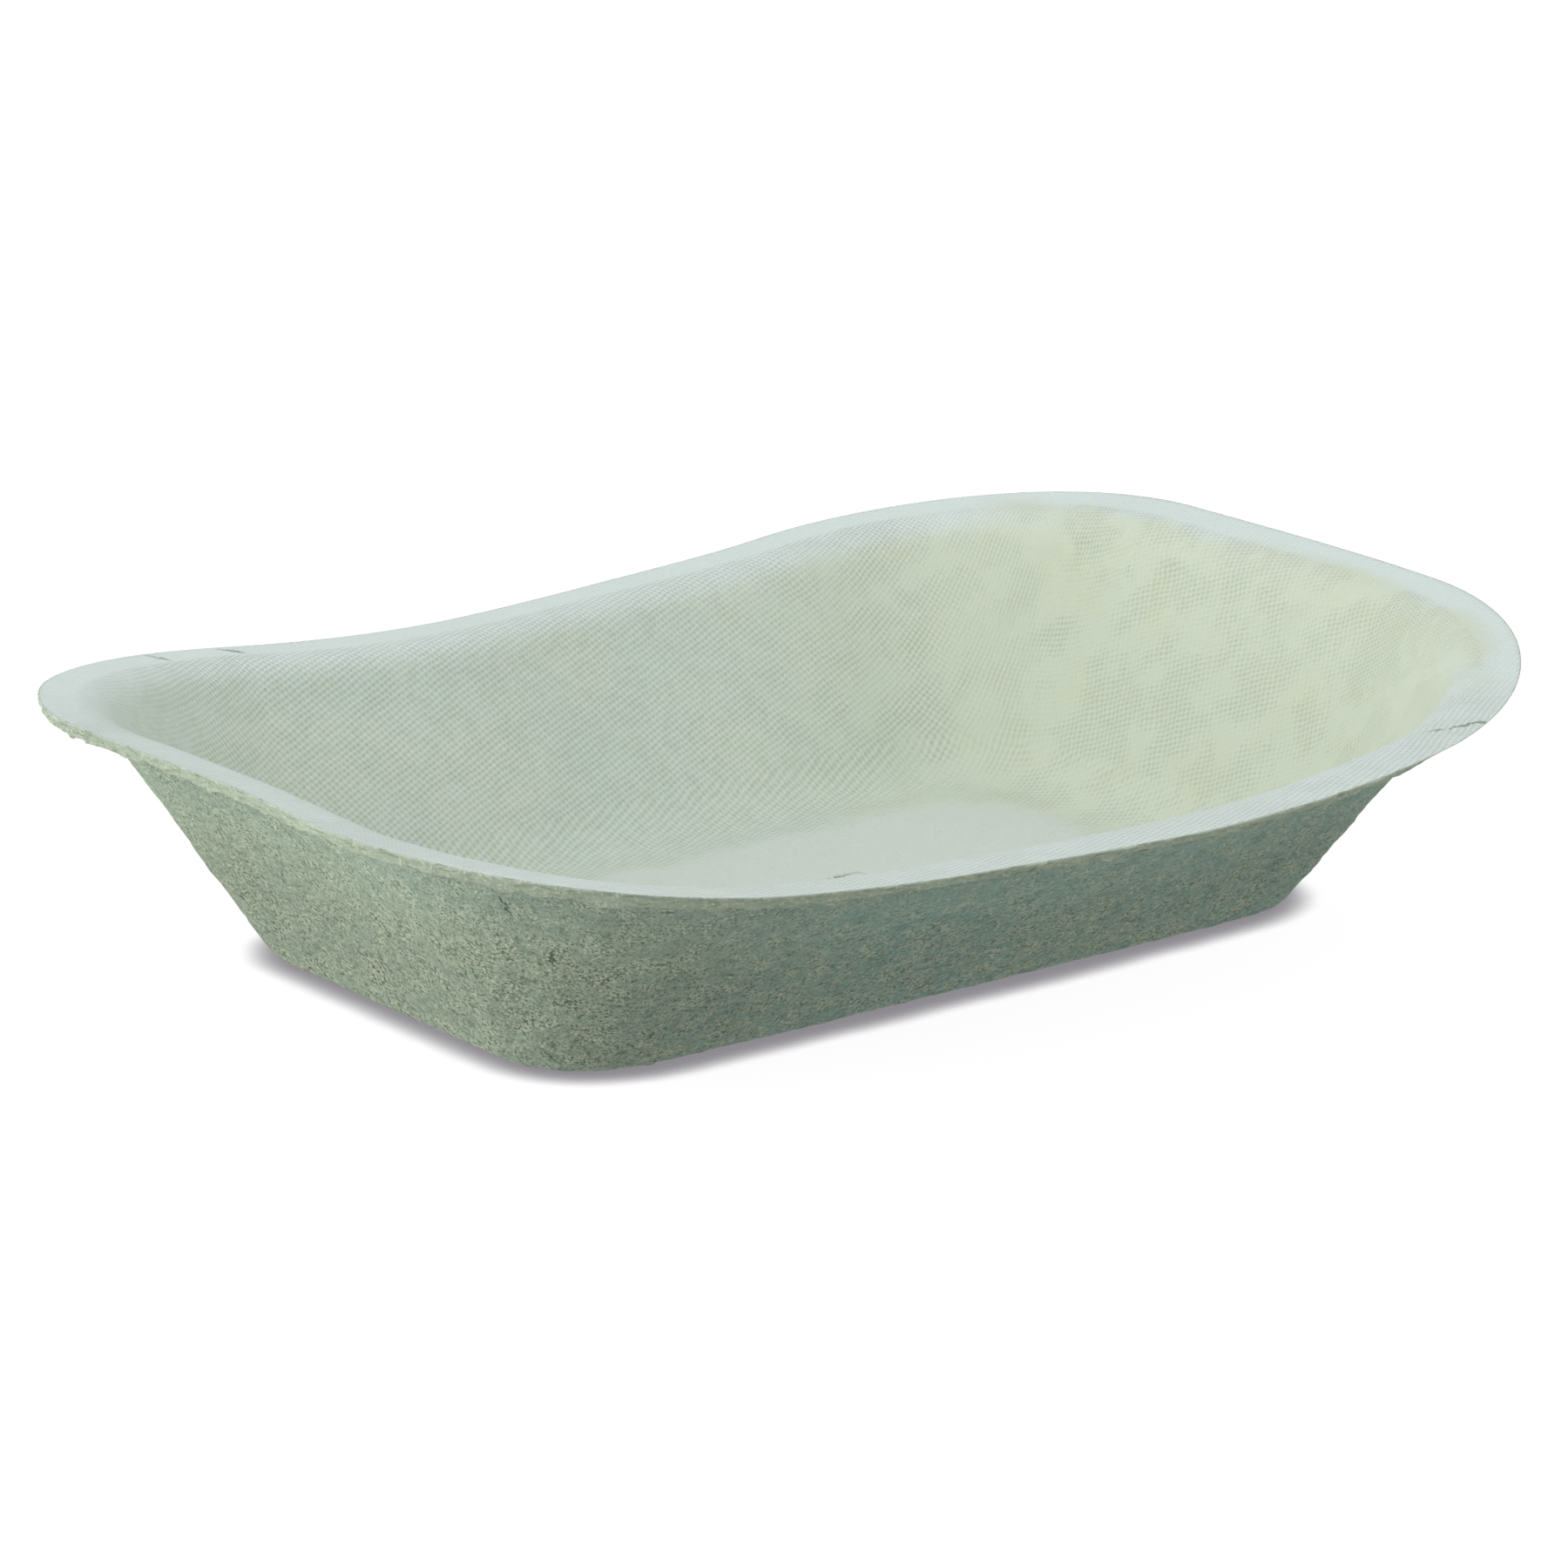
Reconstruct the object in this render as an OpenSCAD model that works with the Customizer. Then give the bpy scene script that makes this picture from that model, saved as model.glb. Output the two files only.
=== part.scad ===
// Kidney dish moulded in one piece from paper pulp.
// A thin shell: a flat floor, flared walls and a flange that dips along the two long sides.
// Seen from above it is a softly cornered tray, slightly bean-shaped: one long side curves in.
// Origin: centre of the bounding box, on the surface that the dish stands on.
// +X runs along the dish, +Y points to the side that curves in, +Z is up.

/* [Rim] */
// Length over the flange
rim_length = 256; // [240:1:272]
// Width over the flange
rim_width = 194; // [184:1:204]
// Height of the flange's top face at the two ends
end_height = 51.5; // [46:0.5:58]
// How far the flange dips from the ends to the middle of the long sides
rim_dip = 11; // [0:0.5:14]
// How far the hollow long side curves in between its corners
rim_notch = 4.5; // [2:0.5:10]
// How far the other long side bows out beyond its corners
rim_bow = 3.3; // [1:0.1:6]
// Rounding of the two corners at the hollow side
rim_back_r = 58; // [50:1:62]
// Rounding of the two corners at the bowed side
rim_front_r = 66; // [56:1:70]
// Width of the flange
flange_width = 10.5; // [8:0.5:12]
// How far the lip's lower edge lies inside its upper edge
lip_undercut = 1; // [0:0.5:2]

/* [Base] */
// Length of the flat underside
base_length = 174; // [160:1:184]
// Width of the flat underside
base_width = 101; // [92:1:108]
// Distance from the hollow side of the rim back to that side of the base
base_setback = 41; // [36:1:46]
// How far the hollow side of the base curves in
base_notch = 2; // [1:0.5:4]
// How far the other long side of the base bows out
base_bow = 0.7; // [0.5:0.1:2]
// Rounding of the base's corners
base_corner_r = 18; // [14:1:24]

/* [Shell] */
// Thickness of the pulp
pulp = 2.5; // [2:0.1:3.2]
// Rounding between the underside and the walls
heel_round = 3; // [2:0.5:6]
// Rounding between the floor and the walls, inside
floor_round = 9; // [4:0.5:10]
// Rounding where the walls turn out into the flange
neck_round = 3; // [2:0.5:4]

/* [Hidden] */
pulp_green = [0.76, 0.81, 0.75];

// Points on each stretch of half an outline: hollow side, corner, end, corner and bowed side
stretch_steps = [8, 12, 4, 13, 8];
// Points on each rounded edge of the wall's section
round_steps = 3;
// Radius of the lip's two edges
lip_round = 0.7;
// Inward step from the outer skin's corners to the inner skin's, on an average wall
skin_step = 0.6 * pulp;

half_length = rim_length / 2;
half_width = rim_width / 2;
base_back = half_width - base_setback;
base_front = base_back - base_width;

// One outline: half length, back, front, notch, back corner radius, front corner radius, bow
rim_shape = [half_length, half_width, -half_width, rim_notch, rim_back_r, rim_front_r, rim_bow];
base_shape =
    [base_length / 2, base_back, base_front, base_notch, base_corner_r, base_corner_r, base_bow];

// The same outline moved inwards by d
function inset(s, d) = [s[0] - d, s[1] - d, s[2] + d, s[3], s[4] - d, s[5] - d, s[6]];

// Radius of the arc that passes the notch and touches both back corners
function notch_r(s) =
    let (dx = s[0] - s[4], rise = s[4] - s[3]) (dx * dx + rise * rise - s[4] * s[4]) / (2 * s[3]);

// Radius of the arc that passes the middle of the front and touches both front corners
function bow_r(s) =
    let (dx = s[0] - s[5]) s[5] + (dx * dx + s[6] * s[6]) / (2 * s[6]);

// Points from angle a to angle b on a circle, without the last one
function arc(c, r, a, b, steps) =
    [for (i = [0:steps - 1]) let (t = a + (b - a) * i / steps) c + r * [cos(t), sin(t)]];

// Points from p to q on a line, without the last one
function line(p, q, steps) = [for (i = [0:steps - 1]) p + (q - p) * i / steps];

// Half of an outline, clockwise from the middle of the notch to the middle of the front
function half_outline(s) =
    let (
        back = [s[0] - s[4], s[1] - s[4]],
        corner = [s[0] - s[5], s[2] + s[6] + s[5]],
        rn = notch_r(s),
        rb = bow_r(s),
        notch = [0, s[1] - s[3] + rn],
        bow = [0, s[2] + rb],
        turn = atan2(notch.y - back.y, notch.x - back.x),
        swing = atan2(corner.y - bow.y, corner.x - bow.x)
    )
    concat(
        arc(notch, rn, -90, turn - 180, stretch_steps[0]),
        arc(back, s[4], turn, 0, stretch_steps[1]),
        line([s[0], back.y], [s[0], corner.y], stretch_steps[2]),
        arc(corner, s[5], 0, swing, stretch_steps[3]),
        arc(bow, rb, swing, -90, stretch_steps[4]),
        [[0, s[2]]]
    );

// A whole outline: the half, then its mirror image back to the start
function outline(s) =
    let (h = half_outline(s), n = len(h)) concat(h, [for (i = [n - 2:-1:1]) [-h[i].x, h[i].y]]);

// An outline lifted to height z
function flat_ring(s, z) = [for (p = outline(s)) [p.x, p.y, z]];

// Height of the flange's top face: lowest halfway along the dish, rising to both ends
function rim_height(x) = end_height - rim_dip * (1 - pow(x / half_length, 2));

// An outline lifted to a depth below the flange's top face
function rim_ring(s, depth) = [for (p = outline(s)) [p.x, p.y, rim_height(p.x) - depth]];

// Centre of a ring, where its closing fan meets
function hub(z) = [0, (base_back + base_front) / 2, z];

// Point at distance d from p towards q
function toward(p, q, d) = p + (q - p) * d / norm(q - p);

// Rings that round the corner between three rings, vertex by vertex
function rounded(a, b, c, reach) =
    [for (k = [0:round_steps]) let (t = k / round_steps)
        [for (i = [0:len(b) - 1])
            let (p = toward(b[i], a[i], reach), q = toward(b[i], c[i], reach))
            (1 - t) * (1 - t) * p + 2 * t * (1 - t) * b[i] + t * t * q]];

// The outer skin's corners
heel = flat_ring(base_shape, 0);
heel_in = flat_ring(inset(base_shape, 2 * heel_round), 0);
neck_low = rim_ring(inset(rim_shape, flange_width), pulp);
lip_low = rim_ring(inset(rim_shape, lip_undercut), pulp);

// The inner skin's corners
lip_high = rim_ring(rim_shape, 0);
neck_high = rim_ring(inset(rim_shape, flange_width + skin_step), 0);
floor_edge = flat_ring(inset(base_shape, skin_step), pulp);
floor_in = flat_ring(inset(base_shape, skin_step + 1.2 * floor_round), pulp);

// A closed skin over a stack of rings, with a fan over the first and the last ring
module skin(rings, first_hub, last_hub) {
    n = len(rings[0]);
    m = len(rings);
    points = concat([for (r = rings) each r], [first_hub, last_hub]);
    sides = [for (k = [0:m - 2]) for (i = [0:n - 1])
        let (a = k * n + i, b = k * n + (i + 1) % n)
        each [[a, a + n, b], [b, a + n, b + n]]];
    start = [for (i = [0:n - 1]) [m * n, i, (i + 1) % n]];
    end = [for (i = [0:n - 1]) [m * n + 1, (m - 1) * n + (i + 1) % n, (m - 1) * n + i]];
    polyhedron(points, concat(sides, start, end));
}

module dish() {
    color(pulp_green)
    skin(
        concat(
            rounded(heel_in, heel, neck_low, heel_round),
            rounded(heel, neck_low, lip_low, neck_round),
            rounded(neck_low, lip_low, lip_high, lip_round),
            rounded(lip_low, lip_high, neck_high, lip_round),
            rounded(lip_high, neck_high, floor_edge, neck_round),
            rounded(neck_high, floor_edge, floor_in, floor_round)
        ),
        hub(0),
        hub(pulp)
    );
}

dish();
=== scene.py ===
import math

import bpy
import numpy as np
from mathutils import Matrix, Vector


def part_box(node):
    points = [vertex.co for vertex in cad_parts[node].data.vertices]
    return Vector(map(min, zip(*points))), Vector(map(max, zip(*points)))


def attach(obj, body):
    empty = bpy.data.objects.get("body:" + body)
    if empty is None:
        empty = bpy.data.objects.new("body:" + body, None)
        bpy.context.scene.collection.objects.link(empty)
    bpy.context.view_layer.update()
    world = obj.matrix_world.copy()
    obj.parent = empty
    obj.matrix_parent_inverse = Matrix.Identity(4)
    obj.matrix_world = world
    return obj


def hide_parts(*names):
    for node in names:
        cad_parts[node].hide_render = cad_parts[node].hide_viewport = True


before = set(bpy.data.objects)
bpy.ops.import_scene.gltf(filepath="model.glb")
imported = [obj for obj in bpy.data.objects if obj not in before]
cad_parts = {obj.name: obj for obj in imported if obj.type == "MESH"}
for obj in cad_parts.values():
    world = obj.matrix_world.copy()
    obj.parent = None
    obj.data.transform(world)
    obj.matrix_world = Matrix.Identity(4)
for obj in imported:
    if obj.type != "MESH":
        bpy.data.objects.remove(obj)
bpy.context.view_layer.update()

# Kidney dish moulded from paper pulp. Lengths are in metres, +Z is up, and +Y is the hollow side.
MM = 0.001

# ---------------------------------------------------------------- sizes

# How much of the flange's height the rounded lip takes off the node's box
TOP_ROUNDED_OFF = 0.1 * MM

# The rim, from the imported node's own box
dish_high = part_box("dish")[1]
HALF_LENGTH = dish_high.x
HALF_WIDTH = dish_high.y
END_HEIGHT = dish_high.z + TOP_ROUNDED_OFF
RIM_DIP = 11 * MM
RIM_NOTCH = 4.5 * MM
RIM_BACK_R = 58 * MM
RIM_FRONT_R = 66 * MM
RIM_BOW = 3.3 * MM
FLANGE_WIDTH = 10.5 * MM

# The base, measured from the rim's hollow side
BASE_HALF_LENGTH = 87 * MM
BASE_BACK = HALF_WIDTH - 41 * MM
BASE_FRONT = BASE_BACK - 101 * MM
BASE_NOTCH = 2 * MM
BASE_CORNER_R = 18 * MM
BASE_BOW = 0.7 * MM

# The pulp
THICKNESS = 2.5 * MM
SKIN_STEP = 0.6 * THICKNESS
HEEL_ROUND = 3 * MM
FLOOR_ROUND = 9 * MM
NECK_UNDER_ROUND = 3 * MM
NECK_TOP_ROUND = 5.5 * MM
LIP_ROUND = 0.4 * MM
LIP_THICKNESS = 1.6 * MM
LIP_UNDERCUT = 1.0 * MM

# The lip is thicker at the left end, and thinner and more undercut at the right end.
# Each change runs between two places along the dish.
LEFT_LIP = (-95 * MM, -50 * MM)
LEFT_LIP_THICKNESS = 2.4 * MM
RIGHT_LIP = (58 * MM, 80 * MM)
RIGHT_LIP_THICKNESS = 1.0 * MM
RIGHT_LIP_UNDERCUT = 3.2 * MM

# How this dish has dried out of true: the rim moves most, the base stays flat
OVAL = -1.1 * MM
SHIFT = -0.6 * MM
THREE_LOBES = -1.3 * MM
FOUR_LOBES = -0.5 * MM
FIVE_LOBES = 1.6 * MM
LEAN = 0.35 * MM
TWIST = 0.9 * MM
SIDE_SAG = 0.2 * MM
END_TWIST = -0.9 * MM

# Mesh steps on each of the five stretches of half an outline
STRETCH_STEPS = 100

# Mesh steps on each part of the wall's section, from the underside round to the floor
UNDER_STEPS = 16
HEEL_STEPS = 9
OUTSIDE_STEPS = 46
NECK_UNDER_STEPS = 5
FLANGE_UNDER_STEPS = 8
LIP_EDGE_STEPS = 4
LIP_STEPS = 5
FLANGE_STEPS = 7
NECK_STEPS = 9
INSIDE_STEPS = 40
FLOOR_EDGE_STEPS = 12
FLOOR_STEPS = 14

# Size of the first and the last ring, as a share of the ring that they shrink from
HUB_RING = 0.02

# Changes along the dish, each a soft step between two places in X: dents and warmer pulp towards
# the right end, the flange's white narrowing to the lip, and a paler, warmer outside at the left
DENTS = (58 * MM, 96 * MM)
WARM_END = (20 * MM, 105 * MM)
NARROW_WHITE = (90 * MM, 112 * MM)
LEFT_SIDE = (-100 * MM, -40 * MM)

# Where the flange was pressed smooth: over X at the right end, and over Y on the hollow side
PRESSED_END = (88 * MM, 112 * MM)
PRESSED_SIDE = (40 * MM, 80 * MM)

# The wrinkled corner nearest the photo's camera, and the smooth floor patch
NEAR_CORNER = (-78 * MM, -46 * MM)
NEAR_CORNER_REACH = 22 * MM
PATCH_HALF_LENGTH = 76 * MM
PATCH_HALF_WIDTH = 36 * MM
PATCH_MIDDLE_Y = 5 * MM
PATCH_CORNER = 22 * MM
PATCH_SOFT_EDGE = 2.5 * MM

# ---------------------------------------------------------------- noise


def smooth(low, high, x):
    """0 below `low`, 1 above `high`, with a soft step between."""
    t = np.clip((x - low) / (high - low), 0, 1)
    return t * t * (3 - 2 * t)


# Numbers that scatter a lattice point's place over the table of random heights
SCATTER = (73856093, 19349663, 83492791)
TABLE_SIZE = 4096


def lattice_noise(points, size, seed):
    """Smooth noise from -1 to 1, with a hill or a hollow about every `size`."""
    table = np.random.default_rng(seed).uniform(-1, 1, TABLE_SIZE)
    q = points / size
    cell = np.floor(q).astype(np.int64)
    f = q - cell
    f = f * f * (3 - 2 * f)
    total = np.zeros(points.shape[:-1])
    for corner in np.ndindex(2, 2, 2):
        k = cell + corner
        key = (k[..., 0] * SCATTER[0]) ^ (k[..., 1] * SCATTER[1]) ^ (k[..., 2] * SCATTER[2])
        weight = np.prod(np.where(corner, f, 1 - f), axis=-1)
        total += weight * table[key & (TABLE_SIZE - 1)]
    return total


def layered_noise(points, size, seed):
    """Noise from -1 to 1 with a second layer, half the size and half the height."""
    return (lattice_noise(points, size, seed) + lattice_noise(points, size / 2, seed + 1) / 2) / 1.5


def ridges(points, size, seed):
    """Thin raised creases, from 0 to 1."""
    return np.clip(1 - 3 * np.abs(layered_noise(points, size, seed)), 0, 1)**2


# ---------------------------------------------------------------- outline and section


def arc(centre, radius, start, stop, steps):
    """Points along an arc, without the last one. Angles are in degrees."""
    t = np.radians(start + (stop - start) * np.arange(steps) / steps)
    return np.asarray(centre) + radius * np.column_stack((np.cos(t), np.sin(t)))


def line(start, stop, steps):
    """Points along a straight line, without the last one."""
    t = (np.arange(steps) / steps)[:, None]
    return np.asarray(start) * (1 - t) + np.asarray(stop) * t


def outline(half_length, back, front, notch, back_r, front_r, bow):
    """The dish seen from above, clockwise from the middle of its hollow side."""
    back_dx = half_length - back_r
    rise = back_r - notch
    notch_r = (back_dx**2 + rise**2 - back_r**2) / (2 * notch)
    front_dx = half_length - front_r
    bow_r = front_r + (front_dx**2 + bow**2) / (2 * bow)
    back_centre = (back_dx, back - back_r)
    front_centre = (front_dx, front + bow + front_r)
    notch_centre = (0, back - notch + notch_r)
    bow_centre = (0, front + bow_r)
    turn = math.degrees(math.atan2(notch_centre[1] - back_centre[1], -back_centre[0]))
    swing = math.degrees(math.atan2(front_centre[1] - bow_centre[1], front_centre[0]))
    n = STRETCH_STEPS
    half = np.concatenate((
        arc(notch_centre, notch_r, -90, turn - 180, n),
        arc(back_centre, back_r, turn, 0, n),
        line((half_length, back_centre[1]), (half_length, front_centre[1]), n),
        arc(front_centre, front_r, 0, swing, n),
        arc(bow_centre, bow_r, swing, -90, n),
        [(0, front)],
    ))
    return np.concatenate((half, half[-2:0:-1] * (-1, 1)))


def rim_outline(inset=0.0):
    return outline(HALF_LENGTH - inset, HALF_WIDTH - inset, inset - HALF_WIDTH, RIM_NOTCH,
                   RIM_BACK_R - inset, RIM_FRONT_R - inset, RIM_BOW)


def base_outline(inset=0.0):
    return outline(BASE_HALF_LENGTH - inset, BASE_BACK - inset, BASE_FRONT + inset, BASE_NOTCH,
                   BASE_CORNER_R - inset, BASE_CORNER_R - inset, BASE_BOW)


def flat_ring(points, z):
    return np.column_stack((points, np.full(len(points), z)))


def rim_height(x):
    """Height of the flange's top face: lowest halfway along the dish, rising to both ends."""
    return END_HEIGHT - RIM_DIP * (1 - (x / HALF_LENGTH)**2)


def rim_ring(points, depth):
    """An outline at a depth below the flange's top face."""
    return np.column_stack((points, rim_height(points[:, 0]) - depth))


def toward(start, stop, distance):
    step = stop - start
    return start + step * distance / np.linalg.norm(step, axis=1, keepdims=True)


class Section:
    """Rings stacked along the wall's section, with the name of the stretch that each is on."""

    def __init__(self, first):
        self.rings = [first]
        self.stretch = ["under"]

    def straight(self, name, target, steps):
        start = self.rings[-1]
        for k in range(1, steps + 1):
            self.rings.append(start + (target - start) * k / steps)
            self.stretch.append(name)

    def corner(self, name, before, tip, after, reach, steps):
        """A rounded corner at `tip`, between the rings before and after it."""
        p = toward(tip, before, reach)
        q = toward(tip, after, reach)
        for k in range(1, steps + 1):
            t = k / steps
            self.rings.append((1 - t)**2 * p + 2 * t * (1 - t) * tip + t**2 * q)
            self.stretch.append(name)


def thin_lip(points):
    """1 at the right end, where the lip is torn thin, and 0 elsewhere."""
    return smooth(*RIGHT_LIP, points[..., 0])


HUB = np.array((0, (BASE_BACK + BASE_FRONT) / 2, 0))


def wall_section():
    """The whole skin, from the middle of the underside out, up, over the lip and down inside."""
    # The corners of the section, from the underside to the floor
    heel = flat_ring(base_outline(), 0)
    neck_under = rim_ring(rim_outline(FLANGE_WIDTH), THICKNESS)
    lip_high = rim_ring(rim_outline(), 0)
    left = 1 - smooth(*LEFT_LIP, lip_high[:, :1])
    right = thin_lip(lip_high)[:, None]
    lip_low = (rim_ring(rim_outline(LIP_UNDERCUT), LIP_THICKNESS) * (1 - left - right)
               + rim_ring(rim_outline(LIP_UNDERCUT), LEFT_LIP_THICKNESS) * left
               + rim_ring(rim_outline(RIGHT_LIP_UNDERCUT), RIGHT_LIP_THICKNESS) * right)
    neck_top = rim_ring(rim_outline(FLANGE_WIDTH + SKIN_STEP), 0)
    floor_edge = flat_ring(base_outline(SKIN_STEP), THICKNESS)
    heel_hub = np.repeat(HUB[None], len(heel), 0)
    floor_hub = heel_hub + (0, 0, THICKNESS)
    s = Section(heel_hub + (heel - heel_hub) * HUB_RING)
    s.straight("under", toward(heel, heel_hub, HEEL_ROUND), UNDER_STEPS)
    s.corner("heel", heel_hub, heel, neck_under, HEEL_ROUND, HEEL_STEPS)
    s.straight("outside", toward(neck_under, heel, NECK_UNDER_ROUND), OUTSIDE_STEPS)
    s.corner("outside", heel, neck_under, lip_low, NECK_UNDER_ROUND, NECK_UNDER_STEPS)
    s.straight("flange_under", toward(lip_low, neck_under, LIP_ROUND), FLANGE_UNDER_STEPS)
    s.corner("lip", neck_under, lip_low, lip_high, LIP_ROUND, LIP_EDGE_STEPS)
    s.straight("lip", toward(lip_high, lip_low, LIP_ROUND), LIP_STEPS)
    s.corner("lip", lip_low, lip_high, neck_top, LIP_ROUND, LIP_EDGE_STEPS)
    s.straight("flange", toward(neck_top, lip_high, NECK_TOP_ROUND), FLANGE_STEPS)
    s.corner("neck", lip_high, neck_top, floor_edge, NECK_TOP_ROUND, NECK_STEPS)
    s.straight("inside", toward(floor_edge, neck_top, FLOOR_ROUND), INSIDE_STEPS)
    s.corner("floor", neck_top, floor_edge, floor_hub, FLOOR_ROUND, FLOOR_EDGE_STEPS)
    s.straight("floor", floor_hub + (s.rings[-1] - floor_hub) * HUB_RING, FLOOR_STEPS)
    return np.array(s.rings), np.array(s.stretch)


# ---------------------------------------------------------------- shape of this dish


def out_of_true(rings):
    """Moves the rim as the dried dish does, and leaves the base flat."""
    x, y, z = rings[..., 0], rings[..., 1], rings[..., 2]
    share = np.clip(z / rim_height(x), 0, 1)
    angle = np.arctan2(y, x)
    swell = (SHIFT * np.cos(angle) + OVAL * np.cos(2 * angle) + THREE_LOBES * np.sin(3 * angle)
             + FOUR_LOBES * np.sin(4 * angle) + FIVE_LOBES * np.cos(5 * angle))
    plan = np.linalg.norm(rings[..., :2], axis=-1)
    along = x / HALF_LENGTH
    across = y / HALF_WIDTH
    lift = (LEAN * along + TWIST * along * across + SIDE_SAG * along**2 * across
            + END_TWIST * along * across**2)
    moved = rings.copy()
    moved[..., :2] *= (1 + share * swell / plan)[..., None]
    moved[..., 2] += share * lift
    return moved


def grid_normals(rings):
    around = np.roll(rings, -1, axis=1) - np.roll(rings, 1, axis=1)
    along = np.gradient(rings, axis=0)
    n = np.cross(along, around)
    return n / np.maximum(np.linalg.norm(n, axis=-1, keepdims=True), 1e-12)


def rough_skin(rings, stretch):
    """How far each point stands out of the true surface: pulp lumps, dents and wrinkles."""
    z = rings[..., 2]
    on = {name: (stretch == name)[:, None] for name in set(stretch)}
    outer = on["outside"] | on["heel"] | on["flange_under"]
    inner = on["inside"] | on["neck"] | on["flange"] | on["floor"]
    low_down = 1 - smooth(4 * MM, 34 * MM, z)
    lumps = 0.55 * lattice_noise(rings, 6 * MM, 11) + 0.45 * lattice_noise(rings, 2.6 * MM, 12)
    fine = lattice_noise(rings, 1.3 * MM, 13)
    lump_height = 0.22 + 0.4 * low_down
    fine_height = 0.06 + 0.12 * low_down
    outside = lump_height * lumps * MM + fine_height * fine * MM
    # The heel was pressed flatter than the wall above it
    outside *= 0.3 + 0.7 * smooth(0, 7 * MM, z)
    # Wrinkles run up the corners, where the wet sheet gathered
    corner_x, corner_y = NEAR_CORNER
    from_corner = (rings[..., 0] - corner_x)**2 + (rings[..., 1] - corner_y)**2
    near_corner = np.exp(-from_corner / NEAR_CORNER_REACH**2)
    upright = rings * (1, 1, 0.3)
    outside += 0.45 * MM * near_corner * (ridges(upright, 9 * MM, 21) - 0.3)
    # Inside, the right end is dented and the rest is calm
    calm = 0.22 * MM * lattice_noise(rings, 16 * MM, 31) + 0.05 * MM * lattice_noise(rings, 4 * MM, 32)
    right_end = smooth(*DENTS, rings[..., 0]) * smooth(6 * MM, 18 * MM, z)
    dents = np.minimum(layered_noise(rings, 9 * MM, 33) + 0.15, 0)
    inside = calm + right_end * 1.1 * MM * dents * on["inside"]
    under = -0.35 * MM * (1 + lattice_noise(rings, 5 * MM, 41)) / 2
    return outer * outside + inner * inside + on["under"] * under


# Where the cracks, creases and marks of this dish start and end, in millimetres
CRACKS = {
    "below_lip_left": ((-108, -56, 42), (-104, -55, 37)),
    "corner_upper": ((-97.5, -57, 30.5), (-95.5, -54, 26)),
    "corner_foot": ((-87.5, -39, 6.5), (-83, -40, 1.5)),
    "left_wall": ((-103.5, 16.5, 27), (-101, 18.5, 23.5)),
    "right_tip": ((75, -83, 43.5), (90, -89, 45)),
    "far_rim_left": ((-80, 96, 45), (-77.5, 90, 44.5)),
    "far_rim_middle": ((-65, 95, 43.5), (-61, 89.5, 43)),
    "floor": ((13, 14, 2.5), (24, 16, 2.5)),
}
CRACK_REACH = 4 * MM


def crack_marks(rings):
    """Signed distance across the nearest crack, in millimetres, and 1 next to it but 0 past its ends."""
    normals = grid_normals(rings)
    across = np.full(rings.shape[:-1], CRACK_REACH)
    beside = np.zeros(rings.shape[:-1])
    for start, stop in CRACKS.values():
        start, stop = np.array(start) * MM, np.array(stop) * MM
        run = stop - start
        length = np.linalg.norm(run)
        offset = rings - start
        t = offset @ run / length**2
        away = np.linalg.norm(offset - np.clip(t, 0, 1)[..., None] * run, axis=-1)
        side = np.sum(np.cross(normals, run / length) * offset, axis=-1)
        here = (1 - smooth(0.5, 1, away / CRACK_REACH)) * smooth(0, 0.25, t) * smooth(0, 0.25, 1 - t)
        across = np.where(away < CRACK_REACH, side, across)
        beside = np.maximum(beside, here)
    return across / MM, beside


def torn_lip(rings, stretch):
    """Ragged offsets of the lip: outwards and downwards. The thin right end is torn the least."""
    lip = (stretch == "lip")[:, None]
    rows = np.cumsum(lip, axis=0) / lip.sum()
    layers = rings.copy()
    # The layers run from the lip's low edge to its top, however thin the lip is there
    layers[..., 2] = rows * 12 * MM
    ragged = 0.3 * lattice_noise(layers, 4 * MM, 51) + 0.3 * lattice_noise(layers, 1.5 * MM, 52)
    wander = 0.25 * lattice_noise(rings * (1, 1, 0), 14 * MM, 53)
    below_top = 1 - smooth(0.6, 0.95, rows)
    outwards = lip * (ragged * below_top + wander) * MM
    plan = rings * (1, 1, 0)
    shreds = lattice_noise(plan, 6 * MM, 54) + 0.7 * lattice_noise(plan, 1.8 * MM, 55)
    shreds = np.maximum(shreds - 0.1, 0)
    low_edge = lip * (1 - smooth(0.1, 0.55, rows))
    downwards = low_edge * (0.6 * shreds**1.5 + 0.3 * lattice_noise(plan, 1.3 * MM, 56)) * MM
    calm = 1 - 0.8 * thin_lip(rings)
    return outwards * calm, downwards * calm


def shape_skin():
    rings, stretch = wall_section()
    rings = out_of_true(rings)
    normals = grid_normals(rings)
    outwards, downwards = torn_lip(rings, stretch)
    radial = rings * (1, 1, 0)
    radial /= np.linalg.norm(radial, axis=-1, keepdims=True)
    bent = rings + normals * rough_skin(rings, stretch)[..., None]
    bent += radial * outwards[..., None]
    bent[..., 2] = np.maximum(bent[..., 2] - downwards, 0)
    return rings, bent, stretch


# ---------------------------------------------------------------- imprint of the mould's wire mesh

# Wires of the two directions that lie in each metre of X and of Y, while the mesh is still flat
WIRES_A = (-320, 820)
WIRES_B = (820, 420)


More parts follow.
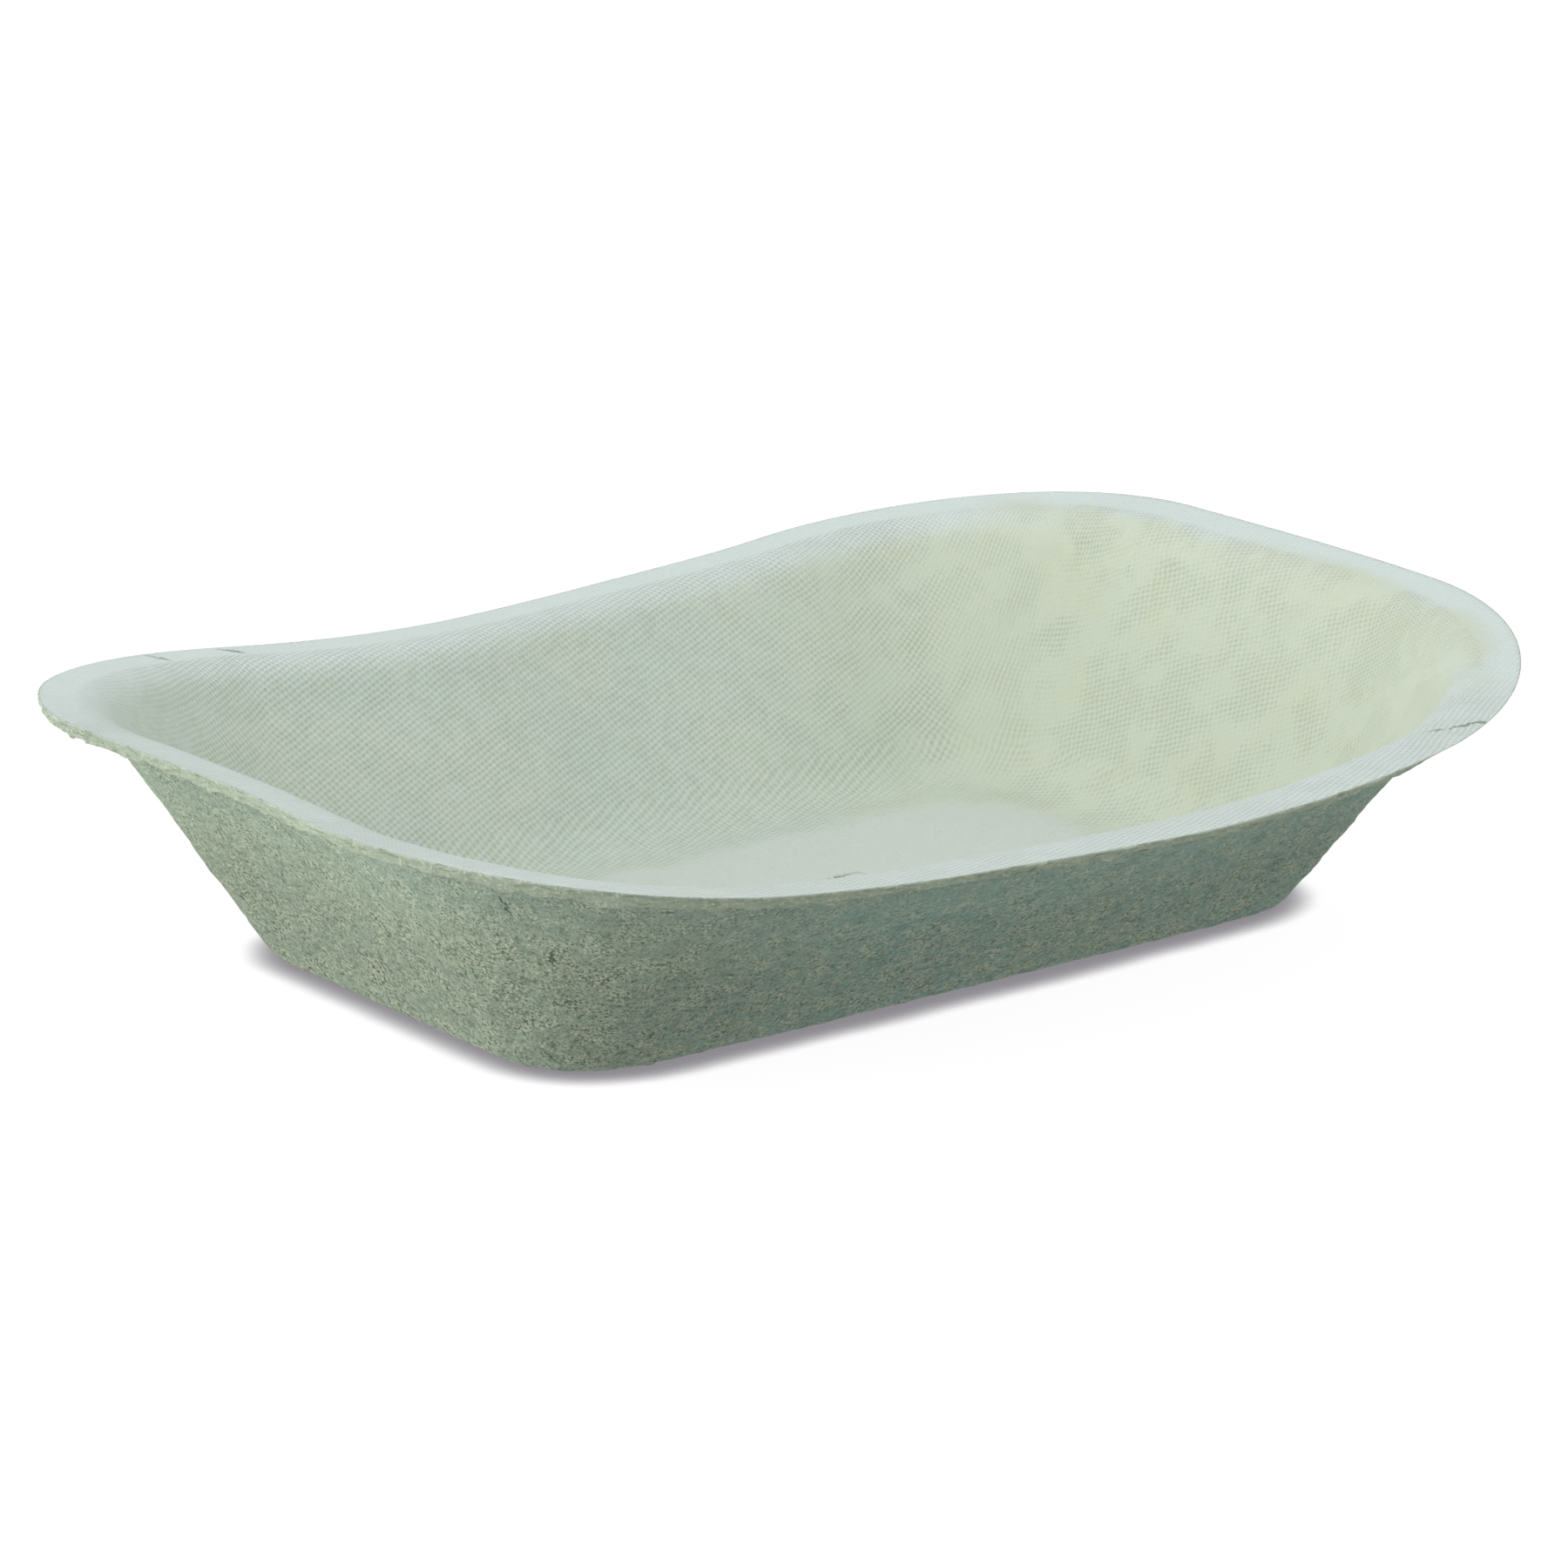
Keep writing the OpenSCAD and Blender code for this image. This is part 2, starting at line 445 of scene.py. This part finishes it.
def weave(rings, stretch):
    """Counts the wires at each point, and how deep they print. The mesh folds up over the walls."""
    wall = np.flatnonzero(stretch == "inside")
    foot, neck = rings[wall[-1], :, :2], rings[wall[0], :, :2]
    outwards = (neck - foot) / np.linalg.norm(neck - foot, axis=-1, keepdims=True)
    steps = np.linalg.norm(np.diff(rings, axis=0), axis=-1)
    up = np.concatenate((np.cumsum(steps[::-1], axis=0)[::-1], np.zeros_like(steps[:1])))
    up = (up - up[wall[-1]])[..., None]
    flat = np.where(up > 0, foot + outwards * up, rings[..., :2])
    # In the corners the wires that run around the dish bunch up and lift off
    fold = smooth(0.5, 1, 2 * np.abs(outwards[:, 0] * outwards[:, 1]))
    loose = np.where(stretch == "flange", 0.25, 0.7)[:, None]

    # The flange was pressed smooth on the hollow side and at the right end
    pressed = np.maximum(smooth(*PRESSED_END, rings[..., 0]), smooth(*PRESSED_SIDE, rings[..., 1]))
    kept = np.where((stretch == "flange")[:, None], 1 - 0.7 * pressed, 1)

    def depth(wires):
        across = (outwards @ np.array(wires) / np.hypot(*wires))**2
        return kept * (1 - loose * fold * across)

    return flat @ np.array(WIRES_A), flat @ np.array(WIRES_B), depth(WIRES_A), depth(WIRES_B)


# ---------------------------------------------------------------- mesh


def grid_faces(rows, columns):
    """Quads between the rings, each with the row that it starts on."""
    j, i = np.meshgrid(np.arange(rows - 1), np.arange(columns), indexing="ij")
    right = (i + 1) % columns
    low, high = j * columns, (j + 1) * columns
    quads = np.stack((low + i, high + i, high + right, low + right), -1)
    return quads.reshape(-1, 4), j.ravel()


# The materials' order on the mesh, and the material of each stretch that isn't on the outside
INSIDE, OUTSIDE, LIP = 0, 1, 2
STRETCH_MATERIAL = {"lip": LIP, "flange": INSIDE, "neck": INSIDE, "inside": INSIDE, "floor": INSIDE}


def add_attribute(mesh, name, values):
    mesh.attributes.new(name, "FLOAT", "POINT").data.foreach_set("value", np.float32(values))


def build_dish(materials):
    """One closed mesh: the rings, and a fan at each end of the section."""
    true_rings, rings, stretch = shape_skin()
    rows, columns = rings.shape[:2]
    points = np.concatenate((rings.reshape(-1, 3), [HUB, HUB + (0, 0, THICKNESS)]))
    quads, quad_row = grid_faces(rows, columns)
    first = np.arange(columns)
    last = first + (rows - 1) * columns
    under_hub = rows * columns
    fans = np.concatenate((
        np.column_stack((np.full(columns, under_hub), first, np.roll(first, -1))),
        np.column_stack((np.full(columns, under_hub + 1), np.roll(last, -1), last)),
    ))
    loops = np.concatenate((quads.ravel(), fans.ravel()))
    starts = np.concatenate((np.arange(len(quads)) * 4, len(quads) * 4 + np.arange(len(fans)) * 3))
    mesh = bpy.data.meshes.new("dish_shell")
    mesh.vertices.add(len(points))
    mesh.vertices.foreach_set("co", np.float32(points).ravel())
    mesh.loops.add(len(loops))
    mesh.loops.foreach_set("vertex_index", np.int32(loops))
    mesh.polygons.add(len(starts))
    mesh.polygons.foreach_set("loop_start", np.int32(starts))
    mesh.polygons.foreach_set("use_smooth", np.ones(len(starts), bool))

    kind = np.array([STRETCH_MATERIAL.get(name, OUTSIDE) for name in stretch])
    fan_kind = np.repeat((OUTSIDE, INSIDE), columns)
    face_kind = np.concatenate((kind[quad_row + 1], fan_kind))
    for material in materials:
        mesh.materials.append(material)
    mesh.polygons.foreach_set("material_index", np.int32(face_kind))

    for name, values in surface_masks(true_rings, stretch).items():
        add_attribute(mesh, name, np.concatenate((values.ravel(), values[0, :1], values[-1, :1])))
    mesh.update(calc_edges=True)
    mesh.validate()
    dish = bpy.data.objects.new("dish_shell", mesh)
    bpy.context.scene.collection.objects.link(dish)
    return dish


def surface_masks(rings, stretch):
    """What the materials read at each point: the weave, the cracks, and where the surface changes."""
    x, y, z = rings[..., 0], rings[..., 1], rings[..., 2]
    wobble = 3 * MM * lattice_noise(rings, 12 * MM, 61)
    # The smooth patch is a rectangle with round corners
    reach_x = np.maximum(np.abs(x) - PATCH_HALF_LENGTH + PATCH_CORNER, 0)
    reach_y = np.maximum(np.abs(y - PATCH_MIDDLE_Y) - PATCH_HALF_WIDTH + PATCH_CORNER, 0)
    inset = PATCH_CORNER - np.hypot(reach_x, reach_y) + wobble
    patch = smooth(-PATCH_SOFT_EDGE, PATCH_SOFT_EDGE, inset) * (z < 12 * MM)
    # The white of the flange fades out over the neck, and keeps to the lip at the right end
    neck, lip = (stretch == "neck")[:, None], (stretch == "lip")[:, None]
    top = np.where(lip | (stretch == "flange")[:, None], np.ones_like(x), 0)
    neck_rows = np.cumsum(neck, axis=0) / neck.sum()
    from_lip = np.linalg.norm(rings - rings[np.flatnonzero(stretch == "lip")[-1]], axis=-1)
    flange = np.where(neck, 1 - smooth(0.3, 1, neck_rows), top)
    right_end = smooth(*NARROW_WHITE, x)
    narrow = 1 - smooth(4 * MM, 10 * MM, from_lip + 1.5 * wobble)
    flange = np.where(lip, top, flange * (1 - right_end) + flange * narrow * right_end)
    lip_rows = np.cumsum(lip, axis=0) / lip.sum() * np.ones_like(x)
    weave_a, weave_b, depth_a, depth_b = weave(rings, stretch)
    crack_across, crack_beside = crack_marks(rings)
    return {
        "weave_a": weave_a,
        "weave_b": weave_b,
        "weave_a_depth": depth_a,
        "weave_b_depth": depth_b,
        "crack_across": crack_across,
        "crack_beside": crack_beside,
        "left": 1 - smooth(*LEFT_SIDE, x),
        "patch": patch,
        "flange": flange,
        "warm": smooth(*WARM_END, x) * (1 - flange),
        "up": np.clip(z / rim_height(x), 0, 1),
        "lip_depth": 1 - lip_rows,
    }


# ---------------------------------------------------------------- materials


def paint(red, green, blue):
    """A colour given as 0 to 255 on screen, in Blender's linear values."""
    channels = [c / 255 for c in (red, green, blue)]
    return tuple(c / 12.92 if c < 0.04045 else ((c + 0.055) / 1.055)**2.4 for c in channels) + (1,)


# Colours of the pulp inside, outside and at the lip, some of them painted shade and painted highlights,
# and of the studio's floor
INSIDE_GREEN = paint(199, 212, 202)
INSIDE_GREY = paint(204, 214, 202)
INSIDE_MOTTLED = paint(188, 201, 180)
INSIDE_WARM = paint(205, 214, 196)
INSIDE_YELLOW = paint(206, 211, 186)
INSIDE_PATCH = paint(211, 220, 213)
INSIDE_FLANGE = paint(211, 223, 220)
INSIDE_SUNK_SHADE = paint(158, 170, 144)
INSIDE_RAISED_HIGHLIGHT = paint(224, 232, 228)
INSIDE_SPECK = paint(168, 168, 134)
INSIDE_CRACK = paint(132, 142, 112)

OUTSIDE_BLUISH = paint(150, 184, 171)
OUTSIDE_GREEN = paint(157, 187, 169)
OUTSIDE_LEFT = paint(171, 188, 165)
OUTSIDE_HOLLOW_SHADE = paint(118, 140, 124)
OUTSIDE_UNDER_LIP_SHADE = paint(138, 160, 150)
OUTSIDE_GRAIN_HIGHLIGHT = paint(204, 215, 186)
OUTSIDE_STRAND = paint(218, 223, 190)
OUTSIDE_PALE = paint(210, 222, 196)
OUTSIDE_DARK = paint(98, 120, 100)
OUTSIDE_PIT_SHADE = paint(96, 116, 94)
OUTSIDE_CRACK = paint(80, 90, 64)

LIP_TOP_HIGHLIGHT = paint(207, 219, 205)
LIP_LOW = paint(186, 201, 178)
LIP_FIBRE = paint(226, 232, 208)
LIP_GAP = paint(138, 153, 128)

FLOOR_WHITE = paint(255, 255, 255)
FLOOR_SHADOW = paint(138, 134, 141)
FLOOR_GREY = paint(96, 96, 96)


class Surface:
    """Short calls for building one material's nodes."""

    def __init__(self, name, roughness, specular):
        self.material = bpy.data.materials.new(name)
        self.material.use_nodes = True
        self.tree = self.material.node_tree
        self.shader = self.tree.nodes["Principled BSDF"]
        self.shader.inputs["Roughness"].default_value = roughness
        self.shader.inputs["Specular IOR Level"].default_value = specular
        self.place = self.tree.nodes.new("ShaderNodeTexCoord").outputs["Object"]

    def feed(self, socket, value):
        if isinstance(value, bpy.types.NodeSocket):
            self.tree.links.new(value, socket)
        else:
            socket.default_value = value

    def attribute(self, name):
        node = self.tree.nodes.new("ShaderNodeAttribute")
        node.attribute_name = name
        return node.outputs["Fac"]

    def math(self, operation, a, b=0.0):
        node = self.tree.nodes.new("ShaderNodeMath")
        node.operation = operation
        self.feed(node.inputs[0], a)
        self.feed(node.inputs[1], b)
        return node.outputs[0]

    def times(self, a, b):
        return self.math("MULTIPLY", a, b)

    def plus(self, a, b):
        return self.math("ADD", a, b)

    def minus(self, a, b):
        return self.math("SUBTRACT", a, b)

    def noise(self, size, detail, rough, stretch=(1, 1, 1)):
        """Noise around 0.5, with grains of about `size`, drawn out by `stretch`."""
        mapping = self.tree.nodes.new("ShaderNodeMapping")
        mapping.inputs["Scale"].default_value = [1 / (size * s) for s in stretch]
        self.feed(mapping.inputs["Vector"], self.place)
        node = self.tree.nodes.new("ShaderNodeTexNoise")
        node.inputs["Scale"].default_value = 1
        node.inputs["Detail"].default_value = detail
        node.inputs["Roughness"].default_value = rough
        self.feed(node.inputs["Vector"], mapping.outputs[0])
        return node.outputs["Fac"]

    def veins(self, size, width, stretch):
        """1 along thin wandering lines that lie about `size` apart, and 0 between them."""
        away = self.math("ABSOLUTE", self.plus(self.noise(size, 3, 0.6, stretch), -0.5))
        return self.step(away, width, 0)

    def crack(self, width):
        """1 on the cracks, which wander and break off, and 0 beside them."""
        wander = self.plus(self.noise(1.5 * MM, 4, 0.7), -0.5)
        away = self.math("ABSOLUTE", self.plus(self.attribute("crack_across"), self.times(wander, 3.5)))
        broken = self.step(self.noise(2 * MM, 3, 0.6), 0.36, 0.46)
        return self.times(self.step(away, width, 0), self.times(self.attribute("crack_beside"), broken))

    def step(self, value, low, high):
        """0 at `low`, 1 at `high`, with a soft step between."""
        node = self.tree.nodes.new("ShaderNodeMapRange")
        node.interpolation_type = "SMOOTHSTEP"
        self.feed(node.inputs["Value"], value)
        node.inputs["From Min"].default_value = low
        node.inputs["From Max"].default_value = high
        return node.outputs["Result"]

    def mix(self, amount, a, b):
        node = self.tree.nodes.new("ShaderNodeMix")
        node.data_type = "RGBA"
        self.feed(node.inputs["Factor"], amount)
        self.feed(node.inputs[6], a)
        self.feed(node.inputs[7], b)
        return node.outputs[2]

    def finish(self, colour, height):
        """`height` is in metres out of the surface."""
        bump = self.tree.nodes.new("ShaderNodeBump")
        bump.inputs["Distance"].default_value = 1
        self.feed(bump.inputs["Height"], height)
        self.feed(self.shader.inputs["Normal"], bump.outputs[0])
        self.feed(self.shader.inputs["Base Color"], colour)
        return self.material


def woven_pulp():
    """Inside: grey-green pulp with the imprint of the wire mesh, and a smooth patch on the floor."""
    s = Surface("pulp_inside", roughness=0.82, specular=0.25)
    patch, flange, warm = s.attribute("patch"), s.attribute("flange"), s.attribute("warm")
    drift = s.times(s.plus(s.noise(5 * MM, 2, 0.5), -0.5), 0.8)

    def wires(name):
        turns = s.plus(s.attribute(name), drift)
        return s.times(s.math("COSINE", s.times(turns, 2 * math.pi)), s.attribute(name + "_depth"))

    pillows = s.times(s.plus(wires("weave_a"), wires("weave_b")), 0.5)
    clear = s.step(s.noise(9 * MM, 3, 0.6), 0.38, 0.6)
    calm = s.minus(1, s.times(s.minus(1, clear), s.plus(s.times(warm, 0.6), 0.2)))
    amount = s.times(calm, s.minus(1, s.times(patch, 0.8)))
    imprint = s.times(pillows, amount)
    fibres = s.plus(s.noise(0.6 * MM, 4, 0.7), -0.5)
    weave_relief = s.plus(s.times(flange, 0.05 * MM), 0.13 * MM)
    fibre_relief = s.plus(s.times(patch, 0.16 * MM), 0.16 * MM)
    height = s.plus(s.times(imprint, weave_relief), s.times(fibres, fibre_relief))

    colour = s.mix(s.step(s.noise(26 * MM, 3, 0.55), 0.35, 0.65), INSIDE_GREEN, INSIDE_GREY)
    mottled = s.step(s.noise(2.6 * MM, 4, 0.65), 0.44, 0.62)
    mottled = s.times(mottled, s.minus(0.4, s.times(warm, 0.25)))
    colour = s.mix(mottled, colour, INSIDE_MOTTLED)
    colour = s.mix(warm, colour, INSIDE_WARM)
    yellow = s.times(s.step(s.noise(11 * MM, 4, 0.6), 0.52, 0.7), s.times(warm, 0.6))
    colour = s.mix(yellow, colour, INSIDE_YELLOW)
    colour = s.mix(patch, colour, INSIDE_PATCH)
    colour = s.mix(flange, colour, INSIDE_FLANGE)
    # Painted shade: the colour is darkened in the sunk hollows of the weave's imprint
    sunk_shade = s.times(s.step(s.times(imprint, -1), -0.15, 0.9), s.minus(0.38, s.times(warm, 0.06)))
    colour = s.mix(sunk_shade, colour, INSIDE_SUNK_SHADE)
    # Painted highlight: the colour is lightened on the raised ridges of the weave's imprint
    raised = s.times(s.step(imprint, 0.1, 0.9), s.plus(s.times(flange, 0.3), 0.25))
    colour = s.mix(raised, colour, INSIDE_RAISED_HIGHLIGHT)
    specks = s.step(s.noise(0.9 * MM, 4, 0.75), 0.62, 0.72)
    colour = s.mix(s.times(specks, s.plus(s.times(patch, 0.3), 0.4)), colour, INSIDE_SPECK)
    crack = s.crack(0.55)
    height = s.plus(height, s.times(crack, -0.3 * MM))
    colour = s.mix(s.times(crack, 0.8), colour, INSIDE_CRACK)
    return s.finish(colour, height)


def rough_pulp():
    """Outside: matted fibres, greener and darker, lumpier towards the heel."""
    s = Surface("pulp_outside", roughness=0.93, specular=0.15)
    up = s.attribute("up")
    low_down = s.minus(1, s.step(up, 0.3, 0.95))
    relief = s.plus(s.times(low_down, 0.6), 0.4)
    grain = s.noise(1.1 * MM, 6, 0.75)
    clumps = s.noise(2.8 * MM, 5, 0.7, stretch=(1.6, 1.6, 0.7))
    strands = s.plus(s.veins(2.6 * MM, 0.05, (1, 1, 1.8)), s.veins(2.1 * MM, 0.05, (1.7, 1.7, 0.7)))
    patchy = s.step(s.noise(5 * MM, 3, 0.6), 0.42, 0.58)
    strands = s.times(s.times(strands, patchy), 0.5)
    height = s.plus(s.times(s.plus(grain, -0.5), 1.5 * MM), s.times(strands, 0.2 * MM))
    height = s.times(s.plus(height, s.times(s.plus(clumps, -0.5), 2.2 * MM)), relief)

    left = s.attribute("left")
    colour = s.mix(s.step(s.noise(20 * MM, 3, 0.6), 0.35, 0.65), OUTSIDE_BLUISH, OUTSIDE_GREEN)
    colour = s.mix(left, colour, OUTSIDE_LEFT)
    # Painted shade in the hollows between the clumps
    colour = s.mix(s.times(s.step(clumps, 0.52, 0.4), 0.45), colour, OUTSIDE_HOLLOW_SHADE)
    # Painted shade on the top of the wall, under the overhanging flange and lip
    colour = s.mix(s.times(s.step(up, 0.6, 0.95), 0.5), colour, OUTSIDE_UNDER_LIP_SHADE)
    # Painted highlight on the raised grain
    colour = s.mix(s.times(s.step(grain, 0.5, 0.62), s.times(relief, 0.8)), colour, OUTSIDE_GRAIN_HIGHLIGHT)
    colour = s.mix(s.times(strands, s.times(relief, 0.9)), colour, OUTSIDE_STRAND)
    speckle = s.noise(0.6 * MM, 3, 0.7)
    coarse = s.plus(s.times(relief, 0.45), s.plus(s.times(left, 0.3), 0.2))
    coarse = s.times(coarse, s.plus(s.times(patchy, 0.75), 0.3))
    pale = s.times(s.step(speckle, 0.52, 0.62), coarse)
    colour = s.mix(pale, colour, OUTSIDE_PALE)
    dark = s.times(s.step(speckle, 0.49, 0.38), coarse)
    colour = s.mix(dark, colour, OUTSIDE_DARK)
    # Painted shade in the pits of the grain
    pit_shade = s.step(s.plus(grain, speckle), 0.96, 0.8)
    colour = s.mix(s.times(pit_shade, s.times(relief, 0.55)), colour, OUTSIDE_PIT_SHADE)
    crack = s.crack(0.42)
    height = s.plus(height, s.times(crack, -0.6 * MM))
    colour = s.mix(s.times(crack, 0.75), colour, OUTSIDE_CRACK)
    return s.finish(colour, height)


def torn_pulp():
    """The lip, where the sheet was cut and torn: cream, layered and fibrous."""
    s = Surface("pulp_lip", roughness=0.95, specular=0.12)
    depth = s.attribute("lip_depth")
    fibres = s.noise(0.9 * MM, 5, 0.75)
    layers = s.noise(1.5 * MM, 4, 0.65, stretch=(2.2, 2.2, 0.45))
    height = s.plus(s.times(s.plus(fibres, -0.5), 0.9 * MM), s.times(s.plus(layers, -0.5), 0.9 * MM))
    # Painted highlight along the lip's top edge, over the lip's lower colour
    colour = s.mix(s.step(depth, 0.15, 0.4), LIP_TOP_HIGHLIGHT, LIP_LOW)
    colour = s.mix(s.times(s.step(fibres, 0.5, 0.62), 0.6), colour, LIP_FIBRE)
    colour = s.mix(s.times(s.step(layers, 0.52, 0.64), 0.55), colour, LIP_GAP)
    return s.finish(colour, height)


# ---------------------------------------------------------------- studio

# The photo's camera, fitted to the silhouette: angles in degrees, distance in metres, lens in
# millimetres, and how far beside and above the origin it aims
CAMERA_BEARING = 37.52
CAMERA_ELEVATION = 16.85
CAMERA_DISTANCE = 1.3581
CAMERA_LENS = 170.6
AIM_RIGHT = -3.8 * MM
AIM_UP = 26.7 * MM

# Brightness of the studio above the horizon, and below it: near, right, and added around one
# direction on the far left. The ramps are soft steps over the height, over X and over the cosine
# of the angle to that direction.
SKY_LIGHT = 0.77
LOW_LIGHT_NEAR = 0.33
LOW_LIGHT_RIGHT = 0.95
LOW_LIGHT_LEFT = 4.8
LOW_LIGHT_FROM = (-0.8, 0.6, 0)
SKY_RAMP = (-0.15, 0.25)
RIGHT_RAMP = (-0.1, 0.8)
LEFT_RAMP = (0.55, 0.97)

# Two soft boxes: place, side in metres and power in watts
KEY_LIGHT = ((-1.3, 0.25, 0.75), 0.9, 8)
FILL_LIGHT = ((0.9, -1.0, 1.1), 0.8, 4)

FLOOR_REACH = 6.0
SHADOW_WIDTH = 6 * MM
SHADOW_SAMPLES = 8
FLOOR_GLOW = 0.94


def add_camera():
    bearing = math.radians(CAMERA_BEARING)
    elevation = math.radians(CAMERA_ELEVATION)
    forward = Vector((math.sin(bearing) * math.cos(elevation), math.cos(bearing) * math.cos(elevation),
                      -math.sin(elevation)))
    right = Vector((math.cos(bearing), -math.sin(bearing), 0))
    target = right * AIM_RIGHT + right.cross(forward) * AIM_UP
    data = bpy.data.cameras.new("camera")
    data.lens = CAMERA_LENS
    data.clip_start = 0.05
    camera = bpy.data.objects.new("camera", data)
    camera.location = target - forward * CAMERA_DISTANCE
    camera.rotation_euler = forward.to_track_quat("-Z", "Y").to_euler()
    bpy.context.scene.collection.objects.link(camera)
    bpy.context.scene.camera = camera


def add_softbox(name, place, size, watts):
    """A square soft light at `place`, facing the dish."""
    data = bpy.data.lights.new(name, "AREA")
    data.size = size
    data.energy = watts
    light = bpy.data.objects.new(name, data)
    light.location = place
    light.rotation_euler = (-Vector(place)).to_track_quat("-Z", "Y").to_euler()
    bpy.context.scene.collection.objects.link(light)


def add_world():
    """Even light from above, patchy light from below, and plain white for the camera."""
    world = bpy.data.worlds.new("studio")
    bpy.context.scene.world = world
    world.use_nodes = True
    nodes, links = world.node_tree.nodes, world.node_tree.links
    background = nodes["Background"]
    background.inputs["Color"].default_value = (1, 1, 1, 1)
    direction = nodes.new("ShaderNodeTexCoord").outputs["Generated"]
    split = nodes.new("ShaderNodeSeparateXYZ")
    links.new(direction, split.inputs[0])
    facing = nodes.new("ShaderNodeVectorMath")
    facing.operation = "DOT_PRODUCT"
    links.new(direction, facing.inputs[0])
    facing.inputs[1].default_value = LOW_LIGHT_FROM

    def ramp(value, start, stop, low, high):
        node = nodes.new("ShaderNodeMapRange")
        node.interpolation_type = "SMOOTHSTEP"
        settings = {"From Min": start, "From Max": stop, "To Min": low, "To Max": high}
        for name, number in settings.items():
            node.inputs[name].default_value = number
        links.new(value, node.inputs["Value"])
        return node.outputs["Result"]

    low_light = nodes.new("ShaderNodeMath")
    links.new(ramp(split.outputs["X"], *RIGHT_RAMP, LOW_LIGHT_NEAR, LOW_LIGHT_RIGHT), low_light.inputs[0])
    links.new(ramp(facing.outputs["Value"], *LEFT_RAMP, 0, LOW_LIGHT_LEFT), low_light.inputs[1])
    height = ramp(split.outputs["Z"], *SKY_RAMP, 0, 1)
    strength = nodes.new("ShaderNodeMix")
    links.new(height, strength.inputs["Factor"])
    links.new(low_light.outputs[0], strength.inputs["A"])
    strength.inputs["B"].default_value = SKY_LIGHT
    seen = nodes.new("ShaderNodeLightPath").outputs["Is Camera Ray"]
    shown = nodes.new("ShaderNodeMath")
    shown.operation = "MAXIMUM"
    links.new(strength.outputs["Result"], shown.inputs[0])
    links.new(seen, shown.inputs[1])
    links.new(shown.outputs[0], background.inputs["Strength"])


def add_floor():
    """A pale floor that stays white but for the soft shadow next to the dish."""
    r = FLOOR_REACH
    mesh = bpy.data.meshes.new("floor")
    corners = [(-r, -r, 0), (r, -r, 0), (r, r, 0), (-r, r, 0)]
    mesh.from_pydata(corners, [], [(0, 1, 2, 3)])
    floor = bpy.data.objects.new("floor", mesh)
    bpy.context.scene.collection.objects.link(floor)
    s = Surface("floor_white", roughness=1.0, specular=0.0)
    shade = s.tree.nodes.new("ShaderNodeAmbientOcclusion")
    shade.inputs["Distance"].default_value = SHADOW_WIDTH
    shade.samples = SHADOW_SAMPLES
    glow = s.mix(s.step(shade.outputs["AO"], 0.2, 0.95), FLOOR_SHADOW, FLOOR_WHITE)
    s.feed(s.shader.inputs["Emission Color"], glow)
    s.shader.inputs["Emission Strength"].default_value = FLOOR_GLOW
    s.shader.inputs["Base Color"].default_value = FLOOR_GREY
    mesh.materials.append(s.material)
    floor.visible_diffuse = False


# ---------------------------------------------------------------- scene

add_camera()
add_world()
add_softbox("key_light", *KEY_LIGHT)
add_softbox("fill_light", *FILL_LIGHT)
add_floor()

dish = build_dish([woven_pulp(), rough_pulp(), torn_pulp()])
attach(dish, "root")
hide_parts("dish")

bpy.context.scene.view_settings.view_transform = "Standard"
